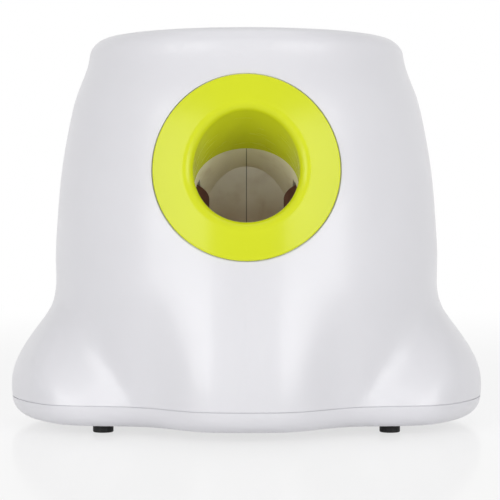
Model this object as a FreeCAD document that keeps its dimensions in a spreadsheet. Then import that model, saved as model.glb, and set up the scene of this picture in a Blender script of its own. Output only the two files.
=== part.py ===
import FreeCAD, Part
import math
import os
import re
import Sketcher
from FreeCAD import Placement, Rotation, Vector

# An automatic ball launcher for small dogs, in millimetres. It stands on z = 0 with its front towards -Y,
# and its origin is on the floor under the middle of the body.

# Driving sizes: name, number, meaning
SIZES = [
    ("foot_height", "5", "gap under the base"),
    ("foot_radius", "5.75", "radius of a rubber foot"),
    ("foot_x", "80", "a foot's distance from the middle, sideways"),
    ("foot_y", "60", "a foot's distance from the middle, front to back"),
    ("shell_wall", "2.8", "wall of the two housing shells"),
    ("tub_round", "12", "round under the edge of the lower housing, which is also its height"),
    ("parting_gap", "0.5", "shadow line between the two housing shells"),
    ("knee_height", "75", "height at which the side lobes run out into the column"),
    ("shoulder_height", "212", "height at which the column turns into the crest"),
    ("crest_round", "12", "round between the column and the top"),
    ("column_radius", "112.5", "radius of the column at the knee"),
    ("column_taper", "3", "radius lost evenly from the knee to the shoulder"),
    ("crown_taper", "17", "radius lost ever faster from the knee to the shoulder"),
    ("valley_drop", "3", "radius lost from the knee down to the base between two lobes"),
    ("lobe_reach", "27.7", "how far a side lobe stands out at the base"),
    ("lobe_slant", "10", "how much less it stands out towards the front and back"),
    ("lobe_top_gap", "2", "how far under the knee a lobe starts"),
    ("valley_angle", "33", "where a side lobe starts at the base, in degrees from the front"),
    ("lobe_angle", "57", "where a side lobe is full at the base, in degrees from the front"),
    ("valley_climb", "18", "degrees by which a lobe narrows towards the knee"),
    ("bulge_reach", "12.5", "how far the front and back stand out at the base"),
    ("bulge_top", "100", "height at which the front bulge runs out"),
    ("bulge_flat", "8", "half the full width of the front bulge, in degrees"),
    ("bulge_edge", "30", "where the front bulge ends at the base, in degrees from the front"),
    ("ring_radius", "50.8", "outer radius of the launch ring"),
    ("ring_height", "147.3", "height of the middle of the launch ring"),
    ("ring_tilt", "8", "degrees by which the launch ring leans back"),
    ("ring_proud", "1.2", "how far the ring stands off the housing"),
    ("ring_seat", "1.2", "depth of the rebate that the ring lies in"),
    ("ring_gap", "0.6", "gap around the launch ring"),
    ("ring_lip", "5", "round from the ring into its bore"),
    ("mouth_height", "149.5", "height at which the launch axis leaves the housing"),
    ("launch_angle", "25", "degrees by which the launch axis rises"),
    ("bore_radius", "28.6", "inside radius of the chute and the launch tube"),
    ("tube_wall", "3", "wall of the launch tube"),
    ("tube_depth", "30", "depth on its axis at which the launch tube ends"),
    ("tube_slant", "45", "slope of the launch tube's rear end"),
    ("chute_wall", "2.4", "wall of the two chute halves"),
    ("elbow_depth", "90", "depth on the launch axis at which the elbow starts"),
    ("elbow_radius", "40", "radius of the elbow's floor"),
    ("throat_height", "162", "height at which the funnel hands over to the chute"),
    ("slot_width", "12", "width of the feeder's slot in the chute"),
    ("bowl_radius", "74.6", "inside radius of the funnel's rim"),
    ("bowl_wall", "2.2", "wall of the funnel"),
    ("bowl_flange", "4", "how far the funnel's flange reaches under the housing's top"),
    ("flange_thickness", "2.4", "thickness of the funnel's flange"),
    ("bowl_gap", "0.4", "gap around the funnel's rim"),
    ("collar_height", "8", "height of the collar that joins the funnel to the chute"),
    ("nip_depth", "64", "depth on the launch axis at which the wheels meet the ball"),
    ("wheel_radius", "26", "outside radius of a wheel"),
    ("wheel_offset", "47", "distance of a wheel's axis from the middle"),
    ("wheel_width", "20", "width of a wheel"),
    ("wheel_clearance", "2", "gap around a wheel"),
    ("tyre_thickness", "5", "thickness of the rubber on a wheel"),
    ("hub_web", "5", "thickness of the hub's disc"),
    ("hub_rim", "2.5", "thickness of the hub's rim"),
    ("hub_boss_radius", "5", "radius of the boss on the motor shaft"),
    ("shaft_radius", "1.6", "radius of the drive motor's shaft"),
    ("running_gap", "0.05", "gap around anything that turns or slides in a hole"),
    ("motor_radius", "14", "radius of a drive motor"),
    ("motor_length", "38", "length of a drive motor's can"),
    ("motor_boss_radius", "5", "radius of the bearing boss on the motor"),
    ("motor_boss_height", "1.8", "height of the bearing boss on the motor"),
    ("endcap_length", "4", "length of the motor's rear cap"),
    ("cradle_plate", "3", "thickness of the plate that carries the motor"),
    ("cradle_wall", "2", "wall of the cup around the motor"),
    ("cradle_depth", "20", "depth of the cup around the motor"),
    ("screw_radius", "1.5", "radius of every screw's shank"),
    ("head_radius", "2.8", "radius of every screw's head"),
    ("head_height", "2", "height of every screw's head"),
    ("pivot_drop", "59.6", "feeder pivot under the centre of the elbow"),
    ("pivot_back", "9", "feeder pivot behind the centre of the elbow"),
    ("pin_radius", "2", "radius of the feeder's pin"),
    ("arm_length", "45", "from the feeder's pin to the middle of its tip"),
    ("arm_rest", "39", "degrees by which the resting arm leans back"),
    ("arm_thickness", "5", "thickness of the feeder's arm"),
    ("arm_hub_radius", "7", "radius of the feeder's hub"),
    ("arm_tip_radius", "3.5", "radius of the feeder's tip"),
    ("gear_teeth", "36", "teeth on the feeder's gear"),
    ("pinion_teeth", "12", "teeth on the feeder's pinion"),
    ("gear_module", "0.9", "tooth size of the feeder's gears"),
    ("gear_width", "5", "width of the feeder's gears"),
    ("gear_backlash", "0.2", "extra distance between the two gears"),
    ("gear_side_gap", "1.5", "gap between the arm and its gear"),
    ("pinion_direction", "30", "degrees under the level at which the pinion lies behind the pivot"),
    ("bracket_wall", "2.5", "thickness of the feeder's bracket"),
    ("bracket_gap", "1.5", "gap between the bracket and what turns in it"),
    ("gearbox_length", "9", "length of the feeder's gearbox"),
    ("gearbox_side", "12", "height and depth of the feeder's gearbox"),
    ("feeder_motor_length", "15", "length of the feeder's motor"),
    ("cell_radius", "13", "radius of a C cell"),
    ("cell_length", "50", "length of a C cell"),
    ("cell_gap", "0.6", "gap around a cell"),
    ("contact_gap", "4", "room for a contact at the end of a cell"),
    ("box_wall", "2.4", "wall of the battery box"),
    ("door_gap", "0.4", "gap around the battery door"),
    ("hinge_radius", "0.8", "radius of the battery door's hinge pins"),
    ("hinge_pin_length", "2.5", "length of the battery door's hinge pins"),
    ("boss_radius", "4.5", "radius of the housing's screw bosses"),
    ("boss_reach", "109", "distance of a screw boss from the middle"),
    ("boss_angle", "62", "direction of a screw boss, in degrees from the front"),
    ("panel_width", "54", "width of the control panel"),
    ("panel_tall", "36", "height of the control panel"),
    ("panel_height", "128", "height of the middle of the control panel"),
    ("panel_edge", "5", "width of the panel that lies on the housing"),
    ("button_radius", "6.5", "radius of a button"),
    ("button_spacing", "24", "distance between the two buttons"),
    ("button_travel", "1.5", "how far a button moves"),
    ("button_proud", "1.8", "how far a button stands off the panel"),
    ("button_gap", "0.3", "gap around a button"),
    ("lens_radius", "1.5", "radius of an indicator lens"),
    ("lens_spacing", "9", "distance between indicator lenses"),
    ("board_thickness", "1.6", "thickness of a circuit board"),
    ("jack_height", "33", "height of the power inlet"),
    ("jack_bore", "3.15", "radius of the power inlet's opening"),
    ("jack_bore_depth", "9.5", "depth of the power inlet's opening"),
    ("jack_pin_radius", "1", "radius of the power inlet's pin"),
    ("jack_body_radius", "5.5", "radius of the power inlet's body"),
    ("jack_flange_radius", "7.3", "radius of the power inlet's flange"),
    ("jack_flange_thickness", "1.5", "thickness of the power inlet's flange"),
    ("sensor_radius", "2.4", "radius of a beam sensor"),
    ("sensor_boss", "34", "distance of a beam sensor's seat from the middle"),
    ("main_board_width", "88", "width of the main circuit board"),
    ("main_board_depth", "38", "depth of the main circuit board"),
    ("post_height", "6", "height of the posts under the main circuit board"),
]
doc = FreeCAD.newDocument("ball_launcher")
sheet = doc.addObject("Spreadsheet::Sheet", "sizes")
for row, (cell, number, meaning) in enumerate(SIZES, start=1):
    sheet.set(f"A{row}", cell)
    sheet.set(f"B{row}", number)
    sheet.set(f"C{row}", meaning)
    sheet.setAlias(f"B{row}", cell)
doc.recompute()

CELLS = {cell for cell, number, meaning in SIZES}
NODES = {}


def bound(expression):
    """Write a size expression with the sheet's name before each of its cells."""
    def with_sheet(word):
        return f"sizes.{word.group()}" if word.group() in CELLS else word.group()
    return re.sub(r"[a-z][a-z_]+", with_sheet, str(expression))


def value(expression):
    """The number that a size expression stands for."""
    return float(sheet.evalExpression(bound(expression)))


def place(item, at=("0", "0", "0"), axis=None, angle="0"):
    """Put an object at a point, turned about an axis by an angle in degrees."""
    if axis:
        item.Placement = Placement(Vector(), Rotation(Vector(*axis), 30))
        item.setExpression("Placement.Rotation.Angle", bound(angle))
    for direction, amount in zip("xyz", at):
        item.setExpression(f"Placement.Base.{direction}", bound(amount))
    return item


def primitive(kind, name, at=("0", "0", "0"), axis=None, angle="0", **sizes):
    """A box, cylinder or sphere whose sizes and place follow the sheet."""
    item = doc.addObject(f"Part::{kind}", name)
    for size, amount in sizes.items():
        item.setExpression(size, bound(amount))
    return place(item, at, axis, angle)


def joined(name, *items):
    """Several solids as one object: made one where they meet, side by side where they don't."""
    item = doc.addObject("Part::MultiFuse", name)
    item.Shapes = list(items)
    return item


def without(name, base, *tools):
    """A solid less other solids."""
    item = doc.addObject("Part::Cut", name)
    item.Base = base
    item.Tool = tools[0] if len(tools) == 1 else joined(f"{name}_tools", *tools)
    return item


def shared(name, *items):
    """What several solids have in common."""
    item = doc.addObject("Part::MultiCommon", name)
    item.Shapes = list(items)
    return item


def formed(name, shape):
    """An object with a free form that no primitive or sketch describes."""
    item = doc.addObject("Part::Feature", name)
    item.Shape = shape
    return item


def sub_part(label, item):
    """Name a finished piece."""
    item.Label = label
    NODES[label] = item
    return item


def outline(body, name, role, points):
    """Draw a closed outline on one of a body's own planes. A point is (across, up), or (across, up,
    radius) where an arc leads to it that turns left."""
    sketch = body.newObject("Sketcher::SketchObject", name)
    plane = next(item for item in body.Origin.OriginFeatures if item.Role == role)
    sketch.AttachmentSupport = [(plane, "")]
    sketch.MapMode = "FlatFace"
    spots = [Vector(value(point[0]), value(point[1]), 0) for point in points]
    for index, point in enumerate(points):
        start, end = spots[index - 1], spots[index]
        if len(point) == 3:
            half = (end - start) / 2
            radius = value(point[2])
            rise = math.sqrt(radius ** 2 - half.Length ** 2)
            centre = start + half + Vector(-half.y, half.x, 0).normalize() * rise
            angles = [math.atan2(spot.y - centre.y, spot.x - centre.x) for spot in (start, end)]
            circle = Part.Circle(centre, Vector(0, 0, 1), radius)
            sketch.addGeometry(Part.ArcOfCircle(circle, *angles), False)
        else:
            sketch.addGeometry(Part.LineSegment(start, end), False)
    for index, point in enumerate(points):
        following = (index + 1) % len(points)
        sketch.addConstraint(Sketcher.Constraint("Coincident", index, 2, following, 1))
        if len(point) == 3:
            number = sketch.addConstraint(Sketcher.Constraint("Radius", index, value(point[2])))
            sketch.renameConstraint(number, f"round{index}")
            sketch.setExpression(f"Constraints.round{index}", bound(point[2]))
        for way, axis, amount in zip("XY", (-2, -1), point):
            if str(amount) == "0":
                sketch.addConstraint(Sketcher.Constraint("PointOnObject", index, 2, axis))
                continue
            distance = Sketcher.Constraint(f"Distance{way}", -1, 1, index, 2, value(amount))
            number = sketch.addConstraint(distance)
            sketch.renameConstraint(number, f"{way.lower()}{index}")
            sketch.setExpression(f"Constraints.{way.lower()}{index}", bound(amount))
    return sketch


def circles(body, name, role, spots):
    """Draw circles on one of a body's own planes, each (across, up, radius)."""
    sketch = body.newObject("Sketcher::SketchObject", name)
    plane = next(item for item in body.Origin.OriginFeatures if item.Role == role)
    sketch.AttachmentSupport = [(plane, "")]
    sketch.MapMode = "FlatFace"
    for index, (across, up, radius) in enumerate(spots):
        centre = Vector(value(across), value(up), 0)
        sketch.addGeometry(Part.Circle(centre, Vector(0, 0, 1), value(radius)), False)
        number = sketch.addConstraint(Sketcher.Constraint("Radius", index, value(radius)))
        sketch.renameConstraint(number, f"round{index}")
        sketch.setExpression(f"Constraints.round{index}", bound(radius))
        for way, axis, amount in zip("XY", (-2, -1), (across, up)):
            if str(amount) == "0":
                sketch.addConstraint(Sketcher.Constraint("PointOnObject", index, 3, axis))
                continue
            distance = Sketcher.Constraint(f"Distance{way}", -1, 1, index, 3, value(amount))
            number = sketch.addConstraint(distance)
            sketch.renameConstraint(number, f"{way.lower()}{index}")
            sketch.setExpression(f"Constraints.{way.lower()}{index}", bound(amount))
    return sketch


def turned(name, points, at=("0", "0", "0"), axis=None, angle="0", sweep="360"):
    """A body turned clockwise about its own Z from an outline of (radius, height) points."""
    body = doc.addObject("PartDesign::Body", name)
    turn = body.newObject("PartDesign::Revolution", f"{name}_turn")
    turn.Profile = outline(body, f"{name}_outline", "XZ_Plane", points)
    turn.ReferenceAxis = (turn.Profile[0], ["V_Axis"])
    turn.setExpression("Angle", bound(sweep))
    turn.Reversed = True
    body.Tip = turn
    return place(body, at, axis, angle)


def padded(name, points, length, at=("0", "0", "0"), axis=None, angle="0", role="XY_Plane", holes=()):
    """A body padded both ways from an outline, with round holes (across, up, radius) right through."""
    body = doc.addObject("PartDesign::Body", name)
    pad = body.newObject("PartDesign::Pad", f"{name}_pad")
    pad.Profile = outline(body, f"{name}_outline", role, points)
    pad.setExpression("Length", bound(length))
    pad.Midplane = True
    body.Tip = pad
    if holes:
        doc.recompute()
        pocket = body.newObject("PartDesign::Pocket", f"{name}_holes")
        pocket.Profile = circles(body, f"{name}_hole_rings", role, holes)
        pocket.Type = "ThroughAll"
        pocket.Midplane = True
        body.Tip = pocket
    return place(body, at, axis, angle)


def rectangle(width, depth, x="0", y="0"):
    """The four corners of a rectangle about a point."""
    return [(f"{x} {way_x} ({width}) / 2", f"{y} {way_y} ({depth}) / 2")
            for way_x, way_y in (("-", "-"), ("+", "-"), ("+", "+"), ("-", "+"))]


def mirrored(side, amount):
    """A sideways distance on the left (-1) or the right (1)."""
    return f"{side} * ({amount})"


SIDES = (("left", -1), ("right", 1))
QUARTERS = ((-1, -1), (1, -1), (1, 1), (-1, 1))

# Heights that the housing works out from its driving sizes
PARTING = "(foot_height + tub_round)"
TOP = "(shoulder_height + crest_round)"
FLOOR = "(foot_height + shell_wall)"

SIZE = {cell: value(cell) for cell in CELLS}
PARTING_Z = value(PARTING)
TOP_Z = value(TOP)


def column_skin(height):
    """The column's radius at a height, without its lobes and bulges."""
    knee, shoulder = SIZE["knee_height"], SIZE["shoulder_height"]
    rise = (height - knee) / (shoulder - knee)
    if rise < 0:
        return SIZE["column_radius"] - SIZE["valley_drop"] * (knee - height) / (knee - PARTING_Z)
    return SIZE["column_radius"] - SIZE["column_taper"] * rise - SIZE["crown_taper"] * rise ** 3


def ease(start, end, amount):
    """A smooth step from 0 to 1."""
    share = min(1, max(0, (amount - start) / (end - start)))
    return share * share * (3 - 2 * share)


def body_skin(degrees, height):
    """The body's radius in a direction measured from the front, with its side lobes and bulges."""
    turn = abs((degrees + 180) % 360 - 180)
    turn = min(turn, 180 - turn)
    lobe_top = SIZE["knee_height"] - SIZE["lobe_top_gap"]
    climb = min(1, max(0, (height - PARTING_Z) / (lobe_top - PARTING_Z)))
    fullness = math.sin(math.pi / 2 * min(1, (1 - climb) / 0.9)) ** 1.3
    slant = SIZE["lobe_slant"] * math.cos(math.radians(turn)) ** 2
    lobe_start = SIZE["valley_angle"] + SIZE["valley_climb"] * climb
    lobe = ease(lobe_start, lobe_start + SIZE["lobe_angle"] - SIZE["valley_angle"], turn)
    bulge = 1 - ease(SIZE["bulge_flat"], SIZE["bulge_edge"], turn)
    fading = 1 - ease(PARTING_Z, SIZE["bulge_top"], height)
    reach = (SIZE["lobe_reach"] - slant) * fullness * lobe
    return column_skin(height) + reach + SIZE["bulge_reach"] * fading * bulge


def section(height, inset, lift=0):
    """The body's outline at a height, moved in by an inset and drawn higher by a lift."""
    spots = []
    for step in range(72):
        turn = math.radians(step * 5)
        radius = body_skin(step * 5, height) - inset
        spots.append(Vector(radius * math.sin(turn), -radius * math.cos(turn), height + lift))
    curve = Part.BSplineCurve()
    curve.interpolate(Points=spots, PeriodicFlag=True)
    return Part.Wire([curve.toShape()])


def between(start, end, steps):
    """Evenly spaced heights, both ends included."""
    return [start + (end - start) * step / steps for step in range(steps + 1)]


def rounded_heights(radius, steps):
    """Pairs of (distance in, distance up) along a quarter round, without its start."""
    turns = [math.pi / 2 * step / steps for step in range(1, steps + 1)]
    return [(radius * (1 - math.cos(turn)), radius * math.sin(turn)) for turn in turns]


def housing_form(inset, foot):
    """The upper housing's outer form moved in by an inset, from the height of its foot to the top."""
    shoulder = SIZE["shoulder_height"]
    knee = SIZE["knee_height"]
    heights = between(foot, knee, 7) + between(knee, shoulder, 7)[1:]
    wires = [section(height, inset) for height in heights]
    for way_in, way_up in rounded_heights(SIZE["crest_round"] - inset, 4):
        wires.append(section(shoulder, inset + way_in, way_up))
    return Part.makeLoft(wires, True, False)


def tub_form(inset):
    """The lower housing's outer form moved in by an inset, up to the parting line."""
    wires = [section(PARTING_Z, inset)]
    for way_in, way_up in rounded_heights(SIZE["tub_round"] - inset, 5):
        wires.append(section(PARTING_Z, inset + way_in, -way_up))
    return Part.makeLoft(wires[::-1], True, False)


def parting_slab(inset, down, up):
    """A slab with the outline of the parting line moved in by an inset, so far down and up from it."""
    return Part.makeLoft([section(PARTING_Z, inset, -down), section(PARTING_Z, inset, up)], True, True)


def skin_solid(outset, low, high, facing):
    """A sixth of everything inside the column's skin moved out by an outset, towards a direction."""
    heights = between(low, high, 10)
    spots = [Vector(column_skin(height) + outset, 0, height) for height in heights]
    curve = Part.BSplineCurve()
    curve.interpolate(spots)
    ends = [spots[-1], Vector(0, 0, high), Vector(0, 0, low), spots[0]]
    lines = [Part.makeLine(start, end) for start, end in zip(ends, ends[1:])]
    face = Part.Face(Part.Wire([curve.toShape()] + lines))
    face.rotate(Vector(), Vector(0, 0, 1), facing - 45)
    return face.revolve(Vector(), Vector(0, 0, 1), 90)


# The launch axis leaves the middle of the mouth and rises towards the front
RISE = "launch_angle"
MOUTH_RISE = "((mouth_height - knee_height) / (shoulder_height - knee_height))"
MOUTH_Y = f"(-(column_radius - column_taper * {MOUTH_RISE} - crown_taper * {MOUTH_RISE} ^ 3))"


def on_axis(depth, above="0", across="0"):
    """A point so deep along the launch axis from the mouth, and so far above it."""
    back = f"{MOUTH_Y} + ({depth}) * cos({RISE}) + ({above}) * sin({RISE})"
    up = f"mouth_height - ({depth}) * sin({RISE}) + ({above}) * cos({RISE})"
    return across, back, up


ALONG = {"axis": (1, 0, 0), "angle": f"90 - {RISE}"}
ACROSS = {"axis": (-1, 0, 0), "angle": RISE}
SIDEWAYS = {"axis": (0, 1, 0), "angle": "90"}
REARWARDS = {"axis": (-1, 0, 0), "angle": "90"}

BEND = "(elbow_radius - bore_radius)"
ELBOW_Y, ELBOW_Z = [f"({amount})" for amount in on_axis("elbow_depth", BEND)[1:]]
PIPE_Y = f"({ELBOW_Y} + {BEND})"
TUBE_OUT = "(bore_radius + tube_wall)"
CHUTE_OUT = "(bore_radius + chute_wall)"
WHEEL_TOP = "(wheel_width / 2)"
PLATE_TOP = "(wheel_width / 2 + wheel_clearance)"

# Launch ring: a wide flange that lies on the front of the column, in one piece with its tube
mouth = Vector(*[value(amount) for amount in on_axis("0")])
launch_rise = math.radians(SIZE["launch_angle"])
launch_way = Vector(0, -math.cos(launch_rise), math.sin(launch_rise))
ring_lean = math.radians(SIZE["ring_tilt"])
ring_way = Vector(0, -math.cos(ring_lean), math.sin(ring_lean))
ring_middle = Vector(0, -column_skin(SIZE["ring_height"]), SIZE["ring_height"])
skin_low = SIZE["ring_height"] - SIZE["ring_radius"] - 6
skin_high = SIZE["ring_height"] + SIZE["ring_radius"] + 6
DEEP = 60


def rod(radius, middle, way, back, front):
    """A round rod about a line, from so far behind a point to so far in front of it."""
    return Part.makeCylinder(radius, back + front, middle - way * back, way)


def edges_at(shape, outset, radius, middle, way):
    """The edges on the moved-out skin that lie at a radius from a line."""
    found = []
    for edge in shape.Edges:
        first, last = edge.ParameterRange
        spots = [edge.valueAt(first + (last - first) * share) for share in (0, 0.3, 0.6, 1)]
        on_skin = all(abs(math.hypot(spot.x, spot.y) - column_skin(spot.z) - outset) < 0.05
                      for spot in spots)
        if on_skin and all(abs((spot - middle).cross(way).Length - radius) < 0.1 for spot in spots):
            found.append(edge)
    return found


def launch_ring():
    skin = skin_solid(SIZE["ring_proud"], skin_low, skin_high, -90)
    seat = skin_solid(-SIZE["ring_seat"], skin_low, skin_high, -90)
    flange = rod(SIZE["ring_radius"], ring_middle, ring_way, DEEP, DEEP).cut(seat)
    tube = rod(SIZE["bore_radius"] + SIZE["tube_wall"], mouth, launch_way, 2 * DEEP, DEEP)
    slant = math.radians(SIZE["tube_slant"])
    inwards = Vector(0, math.sin(slant), -math.cos(slant))
    behind = Part.makeBox(4 * DEEP, 4 * DEEP, 4 * DEEP, Vector(-2 * DEEP, -2 * DEEP, 0))
    tube_end = mouth - launch_way * SIZE["tube_depth"]
    behind.Placement = Placement(tube_end, Rotation(Vector(0, 0, 1), inwards))
    ring = flange.fuse(tube.cut(behind)).common(skin)
    ring = ring.cut(rod(SIZE["bore_radius"], mouth, launch_way, 2 * DEEP, 2 * DEEP)).removeSplitter()
    proud = SIZE["ring_proud"]
    lip = edges_at(ring, proud, SIZE["bore_radius"], mouth, launch_way)
    ring = ring.makeFillet(SIZE["ring_lip"], lip)
    rim = edges_at(ring, proud, SIZE["ring_radius"], ring_middle, ring_way)
    return ring.makeFillet(0.7 * proud, rim)


sub_part("launch_ring", formed("ring_form", launch_ring()))

# Upper housing: one moulded shell with its screw bosses, the rebate for the ring, the opening for the
# funnel, the window behind the control panel and the hole for the power inlet
shell_outside = formed("shell_outside", housing_form(0, PARTING_Z))
shell_inside = formed("shell_inside", housing_form(SIZE["shell_wall"], PARTING_Z - 1))
shell = without("shell", shell_outside, shell_inside)


def boss_spot(way_x, way_y):
    """Where a screw boss stands."""
    return (f"{way_x} * boss_reach * sin(boss_angle)", f"{way_y} * boss_reach * cos(boss_angle)")


bosses = []
boss_holes = []
for way_x, way_y in QUARTERS:
    x, y = boss_spot(way_x, way_y)
    bosses.append(primitive("Cylinder", "boss", (x, y, PARTING), Radius="boss_radius",
                            Height=f"knee_height - {PARTING}"))
    boss_holes.append(primitive("Cylinder", "boss_hole", (x, y, f"{PARTING} - 1"),
                                Radius="screw_radius", Height="19"))
inner_bosses = shared("inner_bosses", joined("bosses", *bosses), shell_outside)

ring_rebate = formed("ring_rebate", rod(SIZE["ring_radius"] + SIZE["ring_gap"], ring_middle, ring_way,
                                        DEEP, DEEP).cut(skin_solid(-SIZE["ring_seat"], skin_low - 2,
                                                                   skin_high + 2, -90)))
tube_hole = primitive("Cylinder", "tube_hole", on_axis(80), Radius=f"{TUBE_OUT} + 1.5", Height=160,
                      **ALONG)
funnel_hole = primitive("Cylinder", "funnel_hole", ("0", "0", f"{TOP} - crest_round"),
                        Radius="bowl_radius + bowl_wall + bowl_gap", Height="2 * crest_round")
REAR_IN = "(column_radius - 30)"
panel_window = primitive("Box", "panel_window",
                         ("-(panel_width / 2 - panel_edge)", REAR_IN,
                          "panel_height - panel_tall / 2 + panel_edge"),
                         Length="panel_width - 2 * panel_edge", Width=60,
                         Height="panel_tall - 2 * panel_edge")
JACK_FACE = "(column_radius + bulge_reach - valley_drop)"
jack_hole = primitive("Cylinder", "jack_hole", ("0", REAR_IN, "jack_height"),
                      Radius="jack_body_radius", Height=80, **REARWARDS)
jack_seat = primitive("Cylinder", "jack_seat", ("0", f"{JACK_FACE} - jack_flange_thickness", "jack_height"),
                      Radius="jack_flange_radius + door_gap", Height=20, **REARWARDS)


def panel_form(outset, seat, grow):
    """A rounded plate that follows the rear of the column, as wide as the panel and a little more."""
    wide, tall = SIZE["panel_width"] + 2 * grow, SIZE["panel_tall"] + 2 * grow
    low, high = SIZE["panel_height"] - tall, SIZE["panel_height"] + tall
    block = Part.makeBox(wide, 2 * DEEP, tall, Vector(-wide / 2, SIZE["column_radius"] / 2,
                                                      SIZE["panel_height"] - tall / 2))
    corners = [edge for edge in block.Edges if abs(edge.tangentAt(edge.FirstParameter).y) > 0.9]
    block = block.makeFillet(6 + grow, corners)
    plate = block.cut(skin_solid(-seat, low, high, 90))
    return plate if outset is None else plate.common(skin_solid(outset, low, high, 90))


panel_rebate = formed("panel_rebate", panel_form(None, SIZE["ring_seat"], SIZE["door_gap"]))
upper_housing = without("upper_housing_form", joined("shell_and_bosses", shell, inner_bosses), ring_rebate,
                        tube_hole, funnel_hole, panel_window, panel_rebate, jack_hole, jack_seat,
                        *boss_holes)
sub_part("upper_housing", upper_housing)

# Lower housing: a shallow tub with screw posts, an opening for the batteries and round sockets for the
# hinge pins of the battery door
CELL_PITCH = "(2 * cell_radius + cell_gap)"
BAY_X = "(cell_length + 1.5 * contact_gap)"
BAY_Y = f"(1.5 * {CELL_PITCH} + cell_gap)"
HINGE_Y = f"(-{BAY_Y} + door_gap + shell_wall / 2)"
HINGE_Z = "(foot_height + shell_wall / 2)"
shadow_line = parting_slab(-5, SIZE["parting_gap"], 1).cut(parting_slab(0.8, 2, 2))
tub_outside = formed("tub_outside", tub_form(0).cut(shadow_line))
tub_inside = formed("tub_inside", tub_form(SIZE["shell_wall"]).fuse(parting_slab(SIZE["shell_wall"], 1, 1)))
tub = without("tub", tub_outside, tub_inside)
tub_parts = [tub]
tub_cuts = []
for way_x, way_y in QUARTERS:
    x, y = boss_spot(way_x, way_y)
    tub_parts.append(primitive("Cylinder", "tub_post", (x, y, "foot_height + 1"),
                               Radius="boss_radius", Height=f"{PARTING} - foot_height - 1"))
    tub_cuts.append(primitive("Cylinder", "tub_screw_hole", (x, y, "0"), Radius="screw_radius + 0.2",
                              Height=f"{PARTING} + 5"))
    tub_cuts.append(primitive("Cylinder", "tub_head_hole", (x, y, "0"), Radius="head_radius + 0.3",
                              Height=f"{FLOOR} + 2"))
tub_cuts.append(primitive("Box", "battery_opening", (f"-{BAY_X}", f"-{BAY_Y}", "0"),
                          Length=f"2 * {BAY_X}", Width=f"2 * {BAY_Y}", Height=f"{FLOOR} + 5"))
tub_cuts.append(primitive("Cylinder", "hinge_sockets",
                          (f"-{BAY_X} - hinge_pin_length - 0.3", HINGE_Y, HINGE_Z),
                          Radius="hinge_radius + running_gap",
                          Height=f"2 * ({BAY_X} + hinge_pin_length + 0.3)", **SIDEWAYS))
sub_part("lower_housing", without("lower_housing_form", joined("tub_and_posts", *tub_parts), *tub_cuts))

# Hopper funnel: a bowl that narrows to a throat over the chute, hung under the top of the housing
BOWL_STEPS = 6


def bowl_form(outset, above):
    """The inside of the bowl moved out by an outset, from the throat up to a height over its rim."""
    throat, rim = SIZE["bore_radius"], SIZE["bowl_radius"]
    throat_z = SIZE["throat_height"]
    wires = []
    for step in range(BOWL_STEPS + 1):
        share = step / BOWL_STEPS
        spread = math.sin(math.pi / 2 * share) ** 0.9
        radius = throat + (rim - throat) * spread + outset
        middle = Vector(0, value(PIPE_Y) * (1 - share), throat_z + (TOP_Z - throat_z) * share)
        wires.append(Part.Wire([Part.makeCircle(radius, middle)]))
    wires.append(Part.Wire([Part.makeCircle(rim + outset, Vector(0, 0, TOP_Z + above))]))
    return Part.makeLoft(wires, True, False)


bowl_outside = formed("bowl_outside", bowl_form(SIZE["bowl_wall"], 0.01))
bowl_inside = formed("bowl_inside", bowl_form(0, 2))
UNDER_TOP = f"({TOP} - shell_wall - flange_thickness)"
flange = primitive("Cylinder", "bowl_flange_disc", ("0", "0", UNDER_TOP),
                   Radius="bowl_radius + bowl_wall + bowl_gap + bowl_flange - 1.2",
                   Height="flange_thickness")
collar = primitive("Cylinder", "collar", ("0", PIPE_Y, "throat_height - collar_height"),
                   Radius=f"{CHUTE_OUT} + bowl_wall", Height="collar_height + bowl_wall")
collar_room = primitive("Cylinder", "collar_room", ("0", PIPE_Y, "throat_height - collar_height - 1"),
                        Radius=CHUTE_OUT, Height="collar_height + 1")
throat_hole = primitive("Cylinder", "throat_hole", ("0", PIPE_Y, "throat_height - 1"),
                        Radius="bore_radius", Height="bowl_wall + 2")
sub_part("hopper_funnel", without("hopper_funnel_form",
                                  joined("bowl_and_collar", bowl_outside, flange, collar),
                                  bowl_inside, collar_room, throat_hole))

# Chute: a drop pipe, an elbow and a launch trough, moulded as two halves that meet on the middle plane


def chute_solid(name, radius, floor_radius, lengthen):
    """The drop pipe, elbow and launch trough as one solid of a given radius."""
    reach = f"sqrt(({radius}) ^ 2 - {BEND} ^ 2)"
    elbow_outline = [("0", f"-{reach}"), (floor_radius, "0", radius), ("0", reach, radius)]
    elbow = turned(f"{name}_elbow", elbow_outline, ("0", ELBOW_Y, ELBOW_Z), (1, 1, 1), "120",
                   f"90 + {RISE}")
    pipe = primitive("Cylinder", f"{name}_pipe", ("0", PIPE_Y, ELBOW_Z), Radius=radius,
                     Height=f"throat_height + {lengthen} - {ELBOW_Z}")
    trough = primitive("Cylinder", f"{name}_trough", on_axis("elbow_depth"), Radius=radius,
                       Height="elbow_depth", **ALONG)
    return joined(f"{name}_whole", elbow, pipe, trough)


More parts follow.
